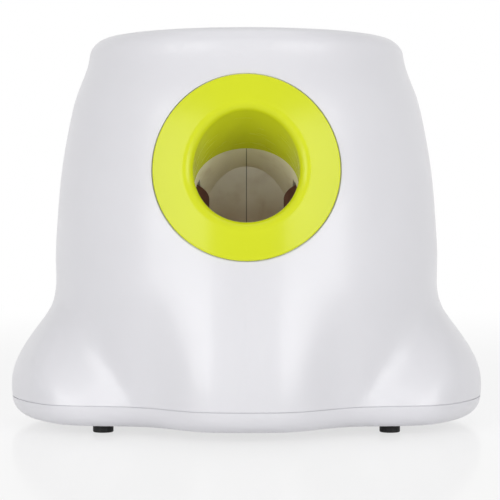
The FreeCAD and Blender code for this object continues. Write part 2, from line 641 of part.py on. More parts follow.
chute_out = chute_solid("chute_outside", CHUTE_OUT, f"elbow_radius + chute_wall", 0)
chute_in = chute_solid("chute_inside", "bore_radius", "elbow_radius", 3)
SENSOR_Y = f"({ELBOW_Y} + {BEND} * cos(60))"
SENSOR_Z = f"({ELBOW_Z} - {BEND} * sin(60))"
sensor_bosses = primitive("Cylinder", "sensor_bosses", ("-sensor_boss", SENSOR_Y, SENSOR_Z),
                          Radius="sensor_radius + 2.6", Height="2 * sensor_boss", **SIDEWAYS)
EAR_SPOTS = [(f"{ELBOW_Y} + elbow_radius + 5", f"{ELBOW_Z} + 25"),
             on_axis("nip_depth + 14", f"-{CHUTE_OUT} - 2.5")[1:],
             on_axis("tube_depth + 18", f"-{CHUTE_OUT} - 2.5")[1:]]
ears = [primitive("Cylinder", "chute_ear", ("-6", y, z), Radius=4.2, Height=12, **SIDEWAYS)
        for y, z in EAR_SPOTS]
ear_holes = [primitive("Cylinder", "ear_hole", ("-4", y, z), Radius="screw_radius", Height=20, **SIDEWAYS)
             for y, z in EAR_SPOTS]
chute_cuts = [chute_in]
for side, way in SIDES:
    below = on_axis("nip_depth", f"-{PLATE_TOP}", mirrored(way, "wheel_offset"))
    chute_cuts.append(primitive("Cylinder", f"wheel_window_{side}", below,
                                Radius="wheel_radius + wheel_clearance", Height=f"2 * {PLATE_TOP}",
                                **ACROSS))
slot = primitive("Cylinder", "feeder_slot", ("-slot_width / 2", ELBOW_Y, ELBOW_Z),
                 Radius="elbow_radius + 12", Height="slot_width", **SIDEWAYS)
slot_keep = primitive("Box", "slot_keep", ("-slot_width", f"{ELBOW_Y} - 60", f"{ELBOW_Z} - 12"),
                      Length="2 * slot_width", Width=160, Height=80)
slot_front = primitive("Box", "slot_front", ("-slot_width", f"{ELBOW_Y} - 60", f"{ELBOW_Z} - 60"),
                       Length="2 * slot_width", Width="60 + pivot_back - 7", Height=120)
chute_cuts.append(without("feeder_slot_sector", slot, slot_keep, slot_front))
end_y, end_z = on_axis("tube_depth")[1:]
tube_end_cut = primitive("Box", "tube_end_cut", ("-100", f"{end_y} - 100 * cos(tube_slant)",
                                                 f"{end_z} - 100 * sin(tube_slant)"),
                         (1, 0, 0), "tube_slant", Length=200, Width=200, Height=200)
chute_cuts.append(tube_end_cut)
sensor_hole = primitive("Cylinder", "sensor_holes", ("-sensor_boss - 1", SENSOR_Y, SENSOR_Z),
                        Radius="sensor_radius", Height="2 * sensor_boss + 2", **SIDEWAYS)
chute_cuts.append(sensor_hole)
chute_whole = without("chute_form", joined("chute_outer", chute_out, sensor_bosses, *ears),
                      *chute_cuts, *ear_holes)
for side, way in SIDES:
    half = primitive("Box", f"half_{side}", (f"-100 + {way} * 100", "-150", "0"), Length=200, Width=300,
                     Height=300)
    sub_part(f"chute_{side}", shared(f"chute_{side}_form", chute_whole, half))

# Flywheels: on each side a hub with a rubber tyre, pressed on the shaft of its own motor. The motor sits in
# the cup of a cradle that lies against the chute
MOTOR_TOP = f"({PLATE_TOP} + cradle_plate)"


def wheel_place(side, above="0"):
    """A wheel's axis at a height above the nip."""
    return on_axis("nip_depth", above, mirrored(side, "wheel_offset"))


HUB_RADIUS = "(wheel_radius - tyre_thickness)"
HUB_HALF = "(hub_web / 2)"
for side, way in SIDES:
    hub_outline = [("shaft_radius", f"-{WHEEL_TOP}"), ("hub_boss_radius", f"-{WHEEL_TOP}"),
                   ("hub_boss_radius", f"-{HUB_HALF}"), (f"{HUB_RADIUS} - hub_rim", f"-{HUB_HALF}"),
                   (f"{HUB_RADIUS} - hub_rim", f"-{WHEEL_TOP}"), (HUB_RADIUS, f"-{WHEEL_TOP}"),
                   (HUB_RADIUS, WHEEL_TOP), (f"{HUB_RADIUS} - hub_rim", WHEEL_TOP),
                   (f"{HUB_RADIUS} - hub_rim", HUB_HALF), ("hub_boss_radius", HUB_HALF),
                   ("hub_boss_radius", WHEEL_TOP), ("shaft_radius", WHEEL_TOP)]
    sub_part(f"flywheel_hub_{side}", turned(f"hub_{side}", hub_outline, wheel_place(way), **ACROSS))
    tyre_outline = [(HUB_RADIUS, f"-{WHEEL_TOP}"), ("wheel_radius - 1.5", f"-{WHEEL_TOP}"),
                    ("wheel_radius", f"-{WHEEL_TOP} + 1.5", "1.6"), ("wheel_radius", f"{WHEEL_TOP} - 1.5"),
                    ("wheel_radius - 1.5", WHEEL_TOP, "1.6"), (HUB_RADIUS, WHEEL_TOP)]
    sub_part(f"flywheel_tyre_{side}", turned(f"tyre_{side}", tyre_outline, wheel_place(way), **ACROSS))
    CAN_END = f"({MOTOR_TOP} + motor_length)"
    shaft_outline = [("0", f"-{CAN_END} - endcap_length + 1"),
                     ("shaft_radius", f"-{CAN_END} - endcap_length + 1"),
                     ("shaft_radius", f"{WHEEL_TOP} - 1"), ("0", f"{WHEEL_TOP} - 1")]
    sub_part(f"motor_shaft_{side}", turned(f"shaft_{side}", shaft_outline, wheel_place(way), **ACROSS))
    SHAFT_HOLE = "(shaft_radius + running_gap)"
    can_outline = [(SHAFT_HOLE, f"-{CAN_END}"), ("motor_radius", f"-{CAN_END}"),
                   ("motor_radius", f"-{MOTOR_TOP} - 1"), ("motor_radius - 1", f"-{MOTOR_TOP}", "1"),
                   ("motor_boss_radius", f"-{MOTOR_TOP}"),
                   ("motor_boss_radius", f"-{MOTOR_TOP} + motor_boss_height"),
                   (SHAFT_HOLE, f"-{MOTOR_TOP} + motor_boss_height")]
    can = turned(f"can_{side}", can_outline, wheel_place(way), **ACROSS)
    threads = [primitive("Cylinder", f"can_thread_{side}",
                         on_axis(f"nip_depth {sign} motor_radius * 0.6", f"-{MOTOR_TOP} - 3",
                                 mirrored(way, "wheel_offset")),
                         Radius="screw_radius", Height="4", **ACROSS)
               for sign in "-+"]
    sub_part(f"motor_can_{side}", without(f"threaded_can_{side}", can, *threads))
    cap_outline = [(SHAFT_HOLE, f"-{CAN_END} - endcap_length"), ("6", f"-{CAN_END} - endcap_length"),
                   ("6", f"-{CAN_END} - 2"), ("motor_radius - 0.8", f"-{CAN_END} - 2"),
                   ("motor_radius - 0.8", f"-{CAN_END}"), (SHAFT_HOLE, f"-{CAN_END}")]
    sub_part(f"motor_endcap_{side}", turned(f"endcap_{side}", cap_outline, wheel_place(way), **ACROSS))

    plate = padded(f"cradle_plate_{side}", rectangle("2 * motor_radius + 8", "2 * motor_radius + 8"),
                   "cradle_plate", wheel_place(way, f"-{PLATE_TOP} - cradle_plate / 2"), **ACROSS)
    cup = primitive("Cylinder", f"cradle_cup_{side}", wheel_place(way, f"-{MOTOR_TOP} - cradle_depth"),
                    Radius="motor_radius + cradle_wall", Height="cradle_depth", **ACROSS)
    room = primitive("Cylinder", f"cradle_room_{side}", wheel_place(way, f"-{MOTOR_TOP} - cradle_depth"),
                     Radius="motor_radius", Height="cradle_depth", **ACROSS)
    boss_room = primitive("Cylinder", f"cradle_boss_room_{side}", wheel_place(way, f"-{MOTOR_TOP}"),
                          Radius="motor_boss_radius", Height="cradle_plate + 1", **ACROSS)
    clear = primitive("Cylinder", f"cradle_clear_{side}", on_axis("elbow_depth"), Radius=CHUTE_OUT,
                      Height=200, **ALONG)
    screw_rooms = [primitive("Cylinder", f"cradle_screw_room_{side}",
                             on_axis(f"nip_depth {sign} motor_radius * 0.6", f"-{MOTOR_TOP}",
                                     mirrored(way, "wheel_offset")),
                             Radius="screw_radius", Height="cradle_plate + 1", **ACROSS)
                   for sign in "-+"]
    sub_part(f"motor_cradle_{side}", without(f"cradle_{side}", joined(f"cradle_solid_{side}", plate, cup),
                                             room, boss_room, clear, *screw_rooms))

# Battery box: an open-bottomed box over the six cells, with the battery door under it
BOX_TOP = f"({FLOOR} + {CELL_PITCH} + box_wall)"
box_outside = primitive("Box", "box_outside", (f"-{BAY_X} - box_wall", f"-{BAY_Y} - box_wall", FLOOR),
                        Length=f"2 * ({BAY_X} + box_wall)", Width=f"2 * ({BAY_Y} + box_wall)",
                        Height=f"{BOX_TOP} - {FLOOR}")
box_inside = primitive("Box", "box_inside", (f"-{BAY_X}", f"-{BAY_Y}", f"{FLOOR} - 1"),
                       Length=f"2 * {BAY_X}", Width=f"2 * {BAY_Y}",
                       Height=f"{BOX_TOP} - {FLOOR} - box_wall + 1")
sub_part("battery_box", without("battery_box_form", box_outside, box_inside))
CELL_Z = f"({FLOOR} + cell_radius + cell_gap / 2)"
cells = []
plates = []
springs = []
for way, row in ((way, row) for way in (-1, 1) for row in (-1, 0, 1)):
    y = f"{row} * {CELL_PITCH}"
    start = f"{way} * ({BAY_X} / 2) - cell_length / 2"
    cell = primitive("Cylinder", "cell", (start, y, CELL_Z), Radius="cell_radius", Height="cell_length",
                     **SIDEWAYS)
    button = primitive("Cylinder", "cell_button", (f"{start} - 1", y, CELL_Z), Radius="3",
                       Height="cell_length + 1", **SIDEWAYS)
    cells.append(joined("cell_with_button", cell, button))
    plates.append(primitive("Box", "contact_plate", (f"{way} * {BAY_X} - 0.2 * (1 + {way})", f"{y} - 8",
                                                     f"{CELL_Z} - 6"),
                            Length="0.4", Width="16", Height="12"))
    springs.append(primitive("Cylinder", "contact_spring",
                             (f"{way} * ({BAY_X} / 2) + cell_length / 2", y, CELL_Z), Radius="4",
                             Height=f"{BAY_X} / 2 - cell_length / 2 - 0.2 * (1 + {way})", **SIDEWAYS))
sub_part("battery_cells", joined("battery_cells_form", *cells))
sub_part("battery_plates", joined("battery_plates_form", *plates))

# Battery door: a flat cover that turns on two pins at its front edge and snaps shut at its rear edge
DOOR_X = f"({BAY_X} - door_gap)"
door_plate = primitive("Box", "door_plate", (f"-{DOOR_X}", HINGE_Y, "foot_height"),
                       Length=f"2 * {DOOR_X}", Width=f"{BAY_Y} - door_gap - {HINGE_Y}", Height="shell_wall")
door_roll = primitive("Cylinder", "door_roll", (f"-{DOOR_X}", HINGE_Y, HINGE_Z),
                      Radius="shell_wall / 2", Height=f"2 * {DOOR_X}", **SIDEWAYS)
door_pins = primitive("Cylinder", "door_pins", (f"-{BAY_X} - hinge_pin_length", HINGE_Y, HINGE_Z),
                      Radius="hinge_radius", Height=f"2 * ({BAY_X} + hinge_pin_length)", **SIDEWAYS)
door_grip = primitive("Cylinder", "door_grip", ("-18", f"{BAY_Y} - 9", "foot_height - 3"), Radius="4",
                      Height="36", **SIDEWAYS)
sub_part("battery_door", without("battery_door_form", joined("door_solid", door_plate, door_roll, door_pins),
                                 door_grip))

# Feeder: an arm that swings up through the slot of the elbow and pushes the ball to the wheels. A small
# geared motor drives it through a pinion and a gear
PIVOT_Y = f"({ELBOW_Y} + pivot_back)"
PIVOT_Z = f"({ELBOW_Z} - pivot_drop)"
GEAR_X = "(arm_thickness / 2 + gear_side_gap)"
GEAR_DISTANCE = "(gear_module * (gear_teeth + pinion_teeth) / 2 + gear_backlash)"
PINION_Y = f"({PIVOT_Y} + {GEAR_DISTANCE} * cos(pinion_direction))"
PINION_Z = f"({PIVOT_Z} - {GEAR_DISTANCE} * sin(pinion_direction))"
PLATE_X = f"({GEAR_X} + gear_width + bracket_gap)"
LEFT_X = "(arm_thickness / 2 + bracket_gap)"
TIP_Y = f"({PIVOT_Y} + arm_length * sin(arm_rest))"
TIP_Z = f"({PIVOT_Z} + arm_length * cos(arm_rest))"
arm_hub = primitive("Cylinder", "arm_hub", ("-arm_thickness / 2", PIVOT_Y, PIVOT_Z),
                    Radius="arm_hub_radius", Height=f"arm_thickness / 2 + {GEAR_X}", **SIDEWAYS)
arm_tip = primitive("Cylinder", "arm_tip", ("-arm_thickness / 2", TIP_Y, TIP_Z), Radius="arm_tip_radius",
                    Height="arm_thickness", **SIDEWAYS)
arm_blade = padded("arm_blade", [("-arm_hub_radius + 1", "0"), ("arm_hub_radius - 1", "0"),
                                 ("arm_tip_radius", "arm_length"), ("-arm_tip_radius", "arm_length")],
                   "arm_thickness", ("0", PIVOT_Y, PIVOT_Z), (-1, 0, 0), "arm_rest", role="YZ_Plane")
arm_hole = primitive("Cylinder", "arm_hole", ("-20", PIVOT_Y, PIVOT_Z), Radius="pin_radius + running_gap",
                     Height="40", **SIDEWAYS)
sub_part("feeder_arm", without("feeder_arm_form", joined("arm_solid", arm_hub, arm_tip, arm_blade), arm_hole))


def gear(name, teeth, hole, at, turn):
    """A spur gear on a sideways axis: a disc with one tooth repeated round it."""
    body = doc.addObject("PartDesign::Body", name)
    root = f"(gear_module * {teeth} / 2 - 1.2 * gear_module)"
    disc = body.newObject("PartDesign::Pad", f"{name}_disc")
    disc.Profile = circles(body, f"{name}_rings", "XY_Plane", [("0", "0", root), ("0", "0", hole)])
    disc.setExpression("Length", bound("gear_width"))
    tooth = body.newObject("PartDesign::Pad", f"{name}_tooth")
    tooth_outline = [(f"{root} - 0.3", "-1.1 * gear_module"), (root, "-1.1 * gear_module"),
                     (f"{root} + 2 * gear_module", "-0.35 * gear_module"),
                     (f"{root} + 2 * gear_module", "0.35 * gear_module"), (root, "1.1 * gear_module"),
                     (f"{root} - 0.3", "1.1 * gear_module")]
    tooth.Profile = outline(body, f"{name}_tooth_outline", "XY_Plane", tooth_outline)
    tooth.setExpression("Length", bound("gear_width"))
    ring = body.newObject("PartDesign::PolarPattern", f"{name}_teeth")
    ring.Originals = [tooth]
    ring.Axis = (disc.Profile[0], ["N_Axis"])
    ring.Angle = 360
    ring.setExpression("Occurrences", bound(teeth))
    body.Tip = ring
    place(body, at)
    body.Placement = Placement(body.Placement.Base, Rotation(Vector(0, 1, 0), 90) *
                               Rotation(Vector(0, 0, 1), turn))
    return body


# At rest a tooth of the gear points at the pinion, whose gap faces it
gear_turn = SIZE["pinion_direction"]
sub_part("feeder_gear", gear("feeder_gear_body", "gear_teeth", "pin_radius + running_gap",
                             (GEAR_X, PIVOT_Y, PIVOT_Z), 90 - gear_turn))
sub_part("feeder_pinion", gear("feeder_pinion_body", "pinion_teeth", "shaft_radius",
                               (GEAR_X, PINION_Y, PINION_Z),
                               90 - gear_turn + 180 / SIZE["pinion_teeth"]))
sub_part("feeder_pin", primitive("Cylinder", "feeder_pin_rod",
                                 (f"-{LEFT_X} - bracket_wall", PIVOT_Y, PIVOT_Z), Radius="pin_radius",
                                 Height=f"{LEFT_X} + {PLATE_X} + 2 * bracket_wall", **SIDEWAYS))
sub_part("feeder_shaft", primitive("Cylinder", "feeder_shaft_rod", (GEAR_X, PINION_Y, PINION_Z),
                                   Radius="shaft_radius",
                                   Height=f"{PLATE_X} - {GEAR_X} + bracket_wall + gearbox_length - 1",
                                   **SIDEWAYS))
FEEDER_DEPTH = f"({PINION_Y} - {PIVOT_Y} + gearbox_side / 2 + arm_hub_radius + 2)"
plates_of_bracket = []
for name, x in (("left", f"-{LEFT_X} - bracket_wall"), ("right", PLATE_X)):
    plates_of_bracket.append(primitive("Box", f"bracket_{name}",
                                       (x, f"{PIVOT_Y} - arm_hub_radius - 2", BOX_TOP),
                                       Length="bracket_wall", Width=FEEDER_DEPTH,
                                       Height=f"{PIVOT_Z} + 6 - {BOX_TOP}"))
bracket_base = primitive("Box", "bracket_base", (f"-{LEFT_X} - bracket_wall",
                                                 f"{PIVOT_Y} - arm_hub_radius - 2", BOX_TOP),
                         Length=f"{LEFT_X} + {PLATE_X} + 2 * bracket_wall", Width=FEEDER_DEPTH,
                         Height="bracket_wall")
bracket_holes = [primitive("Cylinder", "bracket_pin_hole", ("-40", PIVOT_Y, PIVOT_Z), Radius="pin_radius",
                           Height="80", **SIDEWAYS),
                 primitive("Cylinder", "bracket_shaft_hole", (f"{PLATE_X} - 1", PINION_Y, PINION_Z),
                           Radius="shaft_radius + 1", Height="bracket_wall + 2", **SIDEWAYS)]
sub_part("feeder_bracket", without("feeder_bracket_form",
                                   joined("bracket_solid", bracket_base, *plates_of_bracket),
                                   *bracket_holes))
BOX_X = f"({PLATE_X} + bracket_wall)"
gearbox_block = primitive("Box", "gearbox_block", (BOX_X, f"{PINION_Y} - gearbox_side / 2",
                                                   f"{PINION_Z} - gearbox_side / 2"),
                          Length="gearbox_length", Width="gearbox_side", Height="gearbox_side")
gearbox_hole = primitive("Cylinder", "gearbox_hole", (f"{BOX_X} - 1", PINION_Y, PINION_Z),
                         Radius="shaft_radius + running_gap", Height="gearbox_length", **SIDEWAYS)
sub_part("feeder_gearbox", without("feeder_gearbox_form", gearbox_block, gearbox_hole))
sub_part("feeder_motor", primitive("Cylinder", "feeder_motor_can",
                                   (f"{BOX_X} + gearbox_length", PINION_Y, PINION_Z),
                                   Radius="gearbox_side / 2", Height="feeder_motor_length", **SIDEWAYS))

# Beam sensors: a lamp and an eye that look across the elbow at the waiting ball
for name, way in (("sensor_emitter", -1), ("sensor_receiver", 1)):
    start = "-sensor_boss - 3" if way < 0 else "bore_radius - 1"
    stem = primitive("Cylinder", f"{name}_stem", (start, SENSOR_Y, SENSOR_Z), Radius="sensor_radius",
                     Height="sensor_boss + 3 - bore_radius + 1", **SIDEWAYS)
    head = primitive("Cylinder", f"{name}_head", ("-sensor_boss - 3" if way < 0 else "sensor_boss", SENSOR_Y,
                                                  SENSOR_Z),
                     Radius="sensor_radius + 2", Height="3", **SIDEWAYS)
    sub_part(name, joined(f"{name}_form", stem, head))

# Control panel: a curved plate in the rear of the column with two buttons and three indicator lenses
PANEL_BACK = "(column_radius - 5.6)"
BUTTON_Z = "(panel_height - 4)"
LENS_Z = "(panel_height + 11)"
panel_plate = formed("panel_plate", panel_form(SIZE["ring_proud"] * 0.7, SIZE["ring_seat"], 0))
BOARD_Y = f"({PANEL_BACK} - 12)"
posts = [primitive("Cylinder", "panel_post", (f"{way_x} * (panel_width / 2 - panel_edge - 2)",
                                              f"{BOARD_Y} + board_thickness",
                                              f"panel_height + {way_z} * (panel_tall / 2 - panel_edge - 2)"),
                   Radius="1.8", Height=f"{PANEL_BACK} - {BOARD_Y}", **REARWARDS)
         for way_x, way_z in QUARTERS]
BUTTONS = (("power", -1), ("distance", 1))
panel_cuts = [primitive("Cylinder", f"{name}_button_hole", (f"{way} * button_spacing / 2", REAR_IN, BUTTON_Z),
                        Radius="button_radius + button_gap", Height="60", **REARWARDS)
              for name, way in BUTTONS]
panel_cuts += [primitive("Cylinder", "lens_hole", (f"{place_number} * lens_spacing", REAR_IN, LENS_Z),
                         Radius="lens_radius", Height="60", **REARWARDS) for place_number in (-1, 0, 1)]
sub_part("control_panel", without("control_panel_form", joined("panel_and_posts", panel_plate, *posts),
                                  *panel_cuts))
for name, way in BUTTONS:
    x = f"{way} * button_spacing / 2"
    cap = primitive("Cylinder", f"{name}_cap", (x, f"{PANEL_BACK} - 3", BUTTON_Z), Radius="button_radius",
                    Height=f"column_radius - 1 + button_proud - {PANEL_BACK} + 3", **REARWARDS)
    rim = primitive("Cylinder", f"{name}_rim", (x, f"{PANEL_BACK} - 3", BUTTON_Z),
                    Radius="button_radius + 1.5", Height="1.2", **REARWARDS)
    sub_part(f"{name}_button", joined(f"{name}_button_form", cap, rim))
sub_part("indicator_lenses", joined("lenses", *[
    primitive("Cylinder", "lens", (f"{number} * lens_spacing", f"{BOARD_Y} + board_thickness", LENS_Z),
              Radius="lens_radius", Height=f"column_radius - 2.2 - {BOARD_Y} - board_thickness", **REARWARDS)
    for number in (-1, 0, 1)]))
board = primitive("Box", "control_board", ("-(panel_width / 2 - panel_edge - 0.5)", BOARD_Y,
                                           "panel_height - panel_tall / 2 + panel_edge + 0.5"),
                  Length="panel_width - 2 * panel_edge - 1", Width="board_thickness",
                  Height="panel_tall - 2 * panel_edge - 1")
sub_part("control_board", board)
SWITCH_GAP = f"({PANEL_BACK} - 3 - {BOARD_Y} - board_thickness - button_travel - 0.2)"
sub_part("tact_switches", joined("tact_switch_blocks", *[
    primitive("Box", "tact_switch", (f"{way} * button_spacing / 2 - 3", f"{BOARD_Y} + board_thickness",
                                     f"{BUTTON_Z} - 3"), Length="6", Width=SWITCH_GAP, Height="6")
    for name, way in BUTTONS]))

# Power inlet: a round socket with its centre pin, held by a nut inside the rear wall
jack_flange = primitive("Cylinder", "jack_flange", ("0", f"{JACK_FACE} - jack_flange_thickness",
                                                    "jack_height"),
                        Radius="jack_flange_radius", Height="jack_flange_thickness", **REARWARDS)
jack_body = primitive("Cylinder", "jack_body", ("0", f"{JACK_FACE} - 14", "jack_height"),
                      Radius="jack_body_radius", Height="14", **REARWARDS)
jack_room = primitive("Cylinder", "jack_room", ("0", f"{JACK_FACE} - jack_bore_depth", "jack_height"),
                      Radius="jack_bore", Height="jack_bore_depth + 5", **REARWARDS)
sub_part("dc_jack", without("dc_jack_form", joined("jack_solid", jack_flange, jack_body), jack_room))
sub_part("dc_jack_pin", primitive("Cylinder", "jack_pin", ("0", f"{JACK_FACE} - jack_bore_depth",
                                                           "jack_height"),
                                  Radius="jack_pin_radius", Height="jack_bore_depth - 1.5", **REARWARDS))
JACK_INSIDE = f"({JACK_FACE} - shell_wall - 1.8)"
nut = primitive("Cylinder", "jack_nut_disc", ("0", f"{JACK_INSIDE} - 3", "jack_height"),
                Radius="jack_body_radius + 2.5", Height="3", **REARWARDS)
nut_room = primitive("Cylinder", "jack_nut_room", ("0", f"{JACK_INSIDE} - 4", "jack_height"),
                     Radius="jack_body_radius", Height="5", **REARWARDS)
sub_part("dc_jack_nut", without("jack_nut_form", nut, nut_room))

# Battery contacts: a coil spring for each cell
sub_part("battery_springs", joined("battery_springs_form", *springs))

# Main circuit board with its components and a buzzer, on four posts behind the battery box
BOARD_FRONT = f"({BAY_Y} + box_wall + 4)"
BOARD_Z = f"({FLOOR} + post_height)"
BOARD_TOP = f"({BOARD_Z} + board_thickness)"
BOARD_MIDDLE = f"({BOARD_FRONT} + main_board_depth / 2)"


def board_corner(way_x, way_y):
    """Where a post stands under the main board."""
    return (f"{way_x} * (main_board_width / 2 - 5)",
            f"{BOARD_MIDDLE} + {way_y} * (main_board_depth / 2 - 5)")


sub_part("main_board", padded("main_board_plate", rectangle("main_board_width", "main_board_depth"),
                              "board_thickness", ("0", BOARD_MIDDLE, f"{BOARD_Z} + board_thickness / 2"),
                              holes=[(f"{way_x} * (main_board_width / 2 - 5)",
                                      f"{way_y} * (main_board_depth / 2 - 5)", "screw_radius")
                                     for way_x, way_y in QUARTERS]))
board_posts = []
for way_x, way_y in QUARTERS:
    x, y = board_corner(way_x, way_y)
    post = primitive("Cylinder", "board_post", (x, y, FLOOR), Radius="screw_radius + 1.5",
                     Height="post_height")
    post_hole = primitive("Cylinder", "board_post_hole", (x, y, f"{FLOOR} + 1"), Radius="screw_radius",
                          Height="post_height")
    board_posts.append(without("board_post_form", post, post_hole))
sub_part("board_spacers", joined("board_spacers_form", *board_posts))


def on_board(kind, across, behind, **sizes):
    """A component that stands on the main board."""
    return primitive(kind, "component", (across, f"{BOARD_MIDDLE} + {behind}", BOARD_TOP), **sizes)


components = [on_board("Box", "-8", "-6", Length="14", Width="7", Height="1.8"),
              on_board("Box", "14", "-4", Length="8", Width="5", Height="1.6"),
              on_board("Box", "10", "6", Length="10", Width="5", Height="7"),
              on_board("Box", "26", "8", Length="8", Width="5", Height="7")]
components += [on_board("Cylinder", across, behind, Radius="4", Height="11")
               for across, behind in (("-28", "-4"), ("-18", "-4"), ("-28", "8"))]
components += [on_board("Box", f"-36 + {number} * 9", "-16", Length="7", Width="6", Height="6")
               for number in range(8)]
sub_part("board_components", joined("board_components_form", *components))
sub_part("buzzer", on_board("Cylinder", "-10", "9", Radius="6", Height="8"))

# Rubber feet: four round pads pressed under the base
feet = []
for way_x, way_y in QUARTERS:
    x, y = f"{way_x} * foot_x", f"{way_y} * foot_y"
    foot_outline = [("0", "0"), ("foot_radius - 0.8", "0"), ("foot_radius", "0.8", "0.8"),
                    ("foot_radius", "foot_height"), ("0", "foot_height")]
    feet.append(turned("foot", foot_outline, (x, y, "0")))
sub_part("rubber_feet", joined("rubber_feet_form", *feet))


def screw(name, length, at, axis=None, angle="0"):
    """A pan-head screw: its shank rises from the place of its head's underside."""
    screw_outline = [("0", "-head_height"), ("head_radius - 0.8", "-head_height"),
                     ("head_radius", "-head_height + 0.8", "0.9"), ("head_radius", "0"),
                     ("screw_radius", "0"), ("screw_radius", length), ("0", length)]
    return turned(f"{name}_shank", screw_outline, at, axis, angle)


# Screws, in groups of like ones
housing_screws = [screw("housing_screw", "24", (*boss_spot(way_x, way_y), f"{FLOOR} + 2"))
                  for way_x, way_y in QUARTERS]
sub_part("housing_screws", joined("housing_screws_form", *housing_screws))
chute_screws = [screw("chute_screw", "9.5", ("6", y, z), (0, -1, 0), "90") for y, z in EAR_SPOTS]
sub_part("chute_screws", joined("chute_screws_form", *chute_screws))
motor_screws = [screw("motor_screw", "cradle_plate + 2",
                      on_axis(f"nip_depth {sign} motor_radius * 0.6", f"-{PLATE_TOP}",
                              mirrored(way, "wheel_offset")),
                      (1, 0, 0), f"180 - {RISE}")
                for side, way in SIDES for sign in "-+"]
sub_part("motor_screws", joined("motor_screws_form", *motor_screws))
board_screws = [screw("board_screw", "4", (*board_corner(way_x, way_y), BOARD_TOP), (1, 0, 0), "180")
                for way_x, way_y in QUARTERS]
sub_part("board_screws", joined("board_screws_form", *board_screws))

# Check every object and write each piece to its own file
doc.recompute()
for item in doc.Objects:
    if "Invalid" in item.State or "Error" in item.State:
        raise RuntimeError(f"{item.Label} could not be built: {item.State}")
for label, item in NODES.items():
    if item.Shape.isNull() or not item.Shape.isValid() or not item.Shape.Solids:
        raise RuntimeError(f"{label} has no valid solid")
os.makedirs("parts", exist_ok=True)
for label, item in NODES.items():
    item.Shape.exportStep(os.path.join("parts", f"{label}.step"))
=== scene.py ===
import math

import bmesh
import bpy
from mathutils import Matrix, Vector


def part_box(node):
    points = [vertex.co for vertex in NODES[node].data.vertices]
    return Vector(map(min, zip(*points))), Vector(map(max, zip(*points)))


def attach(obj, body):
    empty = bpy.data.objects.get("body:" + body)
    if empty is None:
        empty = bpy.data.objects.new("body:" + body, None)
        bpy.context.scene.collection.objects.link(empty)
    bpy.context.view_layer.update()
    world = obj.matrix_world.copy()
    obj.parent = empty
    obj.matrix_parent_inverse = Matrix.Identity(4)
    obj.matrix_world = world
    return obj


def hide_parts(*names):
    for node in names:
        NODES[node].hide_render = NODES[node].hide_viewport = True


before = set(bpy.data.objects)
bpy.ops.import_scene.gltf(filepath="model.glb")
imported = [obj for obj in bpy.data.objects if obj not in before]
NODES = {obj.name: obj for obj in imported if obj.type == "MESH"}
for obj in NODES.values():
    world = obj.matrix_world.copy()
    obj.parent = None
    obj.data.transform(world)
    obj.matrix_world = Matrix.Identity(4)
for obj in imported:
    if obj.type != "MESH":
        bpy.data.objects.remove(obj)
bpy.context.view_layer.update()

# Lower housing: a shallow tub moulded in glossy white plastic, with a rounded edge all round. It carries
# the batteries and is screwed from below to the shell above it.
FINE_GRAIN = 2600
SOFT_WAVE = 16
WHITE = (0.79, 0.785, 0.82)


class Shade:
    """A value in the node tree of a material or of the sky, with sums and masks written as Python."""

    def __init__(self, material, socket=None):
        self.material = material
        self.socket = socket

    def node(self, kind, settings=None, inputs=None, output=0):
        """Any node: its settings are set first, then the values or links of its sockets."""
        made = self.material.node_tree.nodes.new(kind)
        for name, amount in (settings or {}).items():
            setattr(made, name, amount)
        for name, amount in (inputs or {}).items():
            if isinstance(amount, Shade):
                self.material.node_tree.links.new(amount.socket, made.inputs[name])
            else:
                made.inputs[name].default_value = amount
        return Shade(self.material, made.outputs[output])

    def sum(self, operation, first, second):
        return self.node("ShaderNodeMath", {"operation": operation}, {0: first, 1: second})

    def __add__(self, other):
        return self.sum("ADD", self, other)

    def __radd__(self, other):
        return self.sum("ADD", other, self)

    def __sub__(self, other):
        return self.sum("SUBTRACT", self, other)

    def __rsub__(self, other):
        return self.sum("SUBTRACT", other, self)

    def __mul__(self, other):
        return self.sum("MULTIPLY", self, other)

    def __rmul__(self, other):
        return self.sum("MULTIPLY", other, self)

    def between(self, low, high):
        """0 where the value is under the low mark and 1 over the high one."""
        inputs = {"Value": self, "From Min": low, "From Max": high}
        return self.node("ShaderNodeMapRange", {"interpolation_type": "SMOOTHSTEP"}, inputs)

    def mixed(self, first, second):
        """The first colour where this mask is 0 and the second where it is 1."""
        colours = {6: (*first, 1) if isinstance(first, tuple) else first,
                   7: (*second, 1) if isinstance(second, tuple) else second}
        return self.node("ShaderNodeMix", {"data_type": "RGBA"}, {0: self, **colours}, output=2)

    def place(self):
        """Where a point lies on the object, in metres."""
        return self.node("ShaderNodeTexCoord", output=3)

    def axis(self, number):
        """One coordinate of that place: 0 across, 1 front to back, 2 up."""
        return self.node("ShaderNodeSeparateXYZ", inputs={0: self.place()}, output=number)

    def size(self):
        return self.node("ShaderNodeMath", {"operation": "ABSOLUTE"}, {0: self})

    def noise(self, scale, detail=2.0, stretch=None):
        spot = self.place()
        if stretch:
            spot = self.node("ShaderNodeMapping", {}, {"Vector": spot, "Scale": stretch})
        return self.node("ShaderNodeTexNoise", {}, {"Vector": spot, "Scale": scale, "Detail": detail})

    def bump(self, height, depth, strength=1.0):
        return self.node("ShaderNodeBump", {}, {"Height": height, "Distance": depth,
                                                "Strength": strength})


def surface(name, **sockets):
    """A new material whose shader takes plain values here and gets its links later."""
    material = bpy.data.materials.new(name)
    material.use_nodes = True
    shader = material.node_tree.nodes["Principled BSDF"]
    for socket, amount in sockets.items():
        shader.inputs[socket.replace("_", " ")].default_value = amount
    return material, Shade(material), shader


def feed(material, shader, **links):
    for socket, shade in links.items():
        material.node_tree.links.new(shade.socket, shader.inputs[socket.replace("_", " ")])


